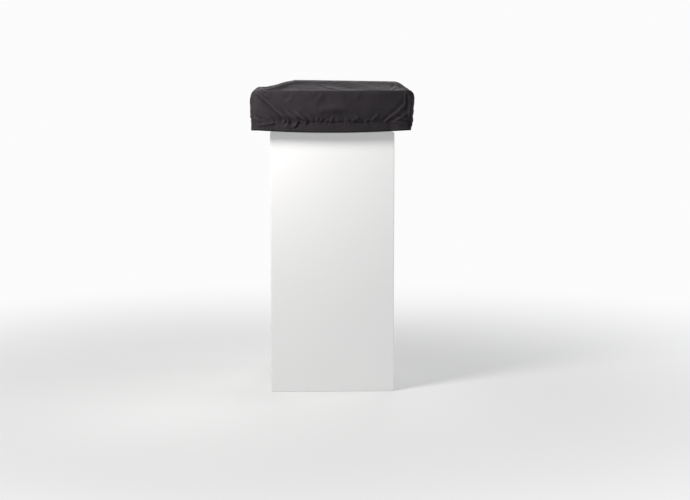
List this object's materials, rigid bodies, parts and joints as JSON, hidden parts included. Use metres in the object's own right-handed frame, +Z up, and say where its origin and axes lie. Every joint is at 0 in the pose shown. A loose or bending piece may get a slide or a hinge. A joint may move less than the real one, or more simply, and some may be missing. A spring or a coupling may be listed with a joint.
{
  "type": "roof top tent",
  "caption": "Soft-shell fold-out roof top tent, closed in its dark travel cover, with a hinged floor, hoops, canopy, telescopic ladder and crossbar clamps.",
  "frame": {"origin": "middle of the part's box, at the height of the tips of the clamp bolts", "axes": "+X across the vehicle to the side that the floor half is lifted at, +Y along the vehicle, +Z up"},
  "size_m": [1.095, 1.269, 0.34],
  "materials": {
    "cover_cloth": "matte",
    "frame_metal": "satin",
    "panel_board": "matte",
    "rail_metal": "satin",
    "cap_plastic": "matte",
    "steel": "satin",
    "hinge_metal": "satin",
    "mattress_cloth": "matte",
    "canopy_cloth": "matte",
    "zip_cloth": "matte",
    "zip_metal": "satin",
    "webbing": "matte",
    "buckle_plastic": "matte",
    "hoop_metal": "satin",
    "ladder_metal": "satin",
    "rubber": "matte",
    "button_plastic": "satin",
    "clamp_metal": "satin"
  },
  "bodies": {
    "base": {"base_frame": "frame_metal", "base_panel": "panel_board", "rail_left": "rail_metal", "rail_right": "rail_metal", "rail_end_caps": "cap_plastic", "rail_bolts": "steel", "base_hinge_plates": "hinge_metal", "hinge_pins": "steel", "mattress_base": "mattress_cloth", "canopy_pack": "canopy_cloth", "cover_track": "rail_metal", "zip_tapes": "zip_cloth", "strap_lower": "webbing", "buckle_sockets": "buckle_plastic"},
    "fold": {"fold_frame": "frame_metal", "fold_panel": "panel_board", "fold_hinge_plates": "hinge_metal", "mattress_fold": "mattress_cloth", "ladder_brackets": "hinge_metal", "ladder_pin": "steel", "ladder_rests": "rubber", "strap_upper": "webbing", "buckle_tongues": "buckle_plastic"},
    "hoop_low": {"hoop_low": "hoop_metal"},
    "hoop_mid": {"hoop_mid": "hoop_metal"},
    "hoop_high": {"hoop_high": "hoop_metal"},
    "ladder_6": {"ladder_stage_6": "ladder_metal"},
    "ladder_5": {"ladder_stage_5": "ladder_metal"},
    "ladder_4": {"ladder_stage_4": "ladder_metal"},
    "ladder_3": {"ladder_stage_3": "ladder_metal"},
    "ladder_2": {"ladder_stage_2": "ladder_metal"},
    "ladder_1": {"ladder_stage_1": "ladder_metal", "ladder_feet": "rubber"},
    "button_front": {"ladder_button_front": "button_plastic"},
    "button_rear": {"ladder_button_rear": "button_plastic"},
    "cover": {"cover_shell": "cover_cloth", "cover_bead": "cover_cloth"},
    "zip_front": {"zip_slider_front": "zip_metal"},
    "zip_rear": {"zip_slider_rear": "zip_metal"},
    "clamp_front_left": {"clamp_bolts_front_left": "steel"},
    "jaw_front_left": {"clamp_plate_front_left": "clamp_metal", "clamp_pad_front_left": "rubber", "clamp_nuts_front_left": "steel"},
    "clamp_front_right": {"clamp_bolts_front_right": "steel"},
    "jaw_front_right": {"clamp_plate_front_right": "clamp_metal", "clamp_pad_front_right": "rubber", "clamp_nuts_front_right": "steel"},
    "clamp_rear_left": {"clamp_bolts_rear_left": "steel"},
    "jaw_rear_left": {"clamp_plate_rear_left": "clamp_metal", "clamp_pad_rear_left": "rubber", "clamp_nuts_rear_left": "steel"},
    "clamp_rear_right": {"clamp_bolts_rear_right": "steel"},
    "jaw_rear_right": {"clamp_plate_rear_right": "clamp_metal", "clamp_pad_rear_right": "rubber", "clamp_nuts_rear_right": "steel"}
  },
  "joints": [
    {"name": "fold", "type": "hinge", "parent": "base", "child": "fold", "pos_m": [-0.526, 0, 0.173], "axis": [0, -1, 0], "range_deg": [0, 179.9], "deforming": ["canopy_pack"]},
    {"name": "hoop_low_swing", "type": "hinge", "parent": "base", "child": "hoop_low", "pos_m": [-0.526, 0, 0.173], "axis": [0, -1, 0], "range_deg": [0, 45.2]},
    {"name": "hoop_mid_swing", "type": "hinge", "parent": "base", "child": "hoop_mid", "pos_m": [-0.526, 0, 0.173], "axis": [0, -1, 0], "range_deg": [0, 90.2]},
    {"name": "hoop_high_swing", "type": "hinge", "parent": "base", "child": "hoop_high", "pos_m": [-0.526, 0, 0.173], "axis": [0, -1, 0], "range_deg": [0, 135.2]},
    {"name": "ladder_pivot", "type": "hinge", "parent": "fold", "child": "ladder_6", "pos_m": [0.44, 0, 0.303], "axis": [0, 1, 0], "range_deg": [0, 105.2]},
    {"name": "ladder_slide_5", "type": "slide", "parent": "ladder_6", "child": "ladder_5", "axis": [-1, 0, 0], "range_m": [0, 0.2355]},
    {"name": "ladder_slide_4", "type": "slide", "parent": "ladder_5", "child": "ladder_4", "axis": [-1, 0, 0], "range_m": [0, 0.2355]},
    {"name": "ladder_slide_3", "type": "slide", "parent": "ladder_4", "child": "ladder_3", "axis": [-1, 0, 0], "range_m": [0, 0.2355]},
    {"name": "ladder_slide_2", "type": "slide", "parent": "ladder_3", "child": "ladder_2", "axis": [-1, 0, 0], "range_m": [0, 0.2355]},
    {"name": "ladder_slide_1", "type": "slide", "parent": "ladder_2", "child": "ladder_1", "axis": [-1, 0, 0], "range_m": [0, 0.2355]},
    {"name": "button_front_press", "type": "slide", "parent": "ladder_1", "child": "button_front", "axis": [0, 1, 0], "range_m": [0, 0.008], "stiffness_N_per_m": 300},
    {"name": "button_rear_press", "type": "slide", "parent": "ladder_1", "child": "button_rear", "axis": [0, -1, 0], "range_m": [0, 0.008], "stiffness_N_per_m": 300},
    {"name": "cover_flip", "type": "hinge", "parent": "base", "child": "cover", "pos_m": [0.532, 0, 0.083], "axis": [0, 1, 0], "range_deg": [0, 270.2], "deforming": ["cover_shell", "cover_bead"]},
    {"name": "zip_front_slide", "type": "slide", "parent": "base", "child": "zip_front", "axis": [-1, 0, 0], "range_m": [0, 0.97]},
    {"name": "zip_rear_slide", "type": "slide", "parent": "base", "child": "zip_rear", "axis": [-1, 0, 0], "range_m": [0, 0.97]},
    {"name": "clamp_front_left_slide", "type": "slide", "parent": "base", "child": "clamp_front_left", "axis": [0, 1, 0], "range_m": [-0.06, 0.06]},
    {"name": "jaw_front_left_close", "type": "slide", "parent": "clamp_front_left", "child": "jaw_front_left", "axis": [0, 0, 1], "range_m": [0, 0.012]},
    {"name": "clamp_front_right_slide", "type": "slide", "parent": "base", "child": "clamp_front_right", "axis": [0, 1, 0], "range_m": [-0.06, 0.06]},
    {"name": "jaw_front_right_close", "type": "slide", "parent": "clamp_front_right", "child": "jaw_front_right", "axis": [0, 0, 1], "range_m": [0, 0.012]},
    {"name": "clamp_rear_left_slide", "type": "slide", "parent": "base", "child": "clamp_rear_left", "axis": [0, 1, 0], "range_m": [-0.06, 0.06]},
    {"name": "jaw_rear_left_close", "type": "slide", "parent": "clamp_rear_left", "child": "jaw_rear_left", "axis": [0, 0, 1], "range_m": [0, 0.012]},
    {"name": "clamp_rear_right_slide", "type": "slide", "parent": "base", "child": "clamp_rear_right", "axis": [0, 1, 0], "range_m": [-0.06, 0.06]},
    {"name": "jaw_rear_right_close", "type": "slide", "parent": "clamp_rear_right", "child": "jaw_rear_right", "axis": [0, 0, 1], "range_m": [0, 0.012]}
  ],
  "couplings": [
    {"joint": "hoop_low_swing", "follows": "fold", "ratio": 0.25},
    {"joint": "hoop_mid_swing", "follows": "fold", "ratio": 0.5},
    {"joint": "hoop_high_swing", "follows": "fold", "ratio": 0.75},
    {"joint": "ladder_pivot", "follows": "fold", "ratio": 0.58333},
    {"joint": "ladder_slide_5", "follows": "fold", "m_per_rad": 0.0748},
    {"joint": "ladder_slide_4", "follows": "fold", "m_per_rad": 0.0748},
    {"joint": "ladder_slide_3", "follows": "fold", "m_per_rad": 0.0748},
    {"joint": "ladder_slide_2", "follows": "fold", "m_per_rad": 0.0748},
    {"joint": "ladder_slide_1", "follows": "fold", "m_per_rad": 0.0748},
    {"joint": "cover_flip", "follows": "fold", "ratio": 1.5}
  ]
}
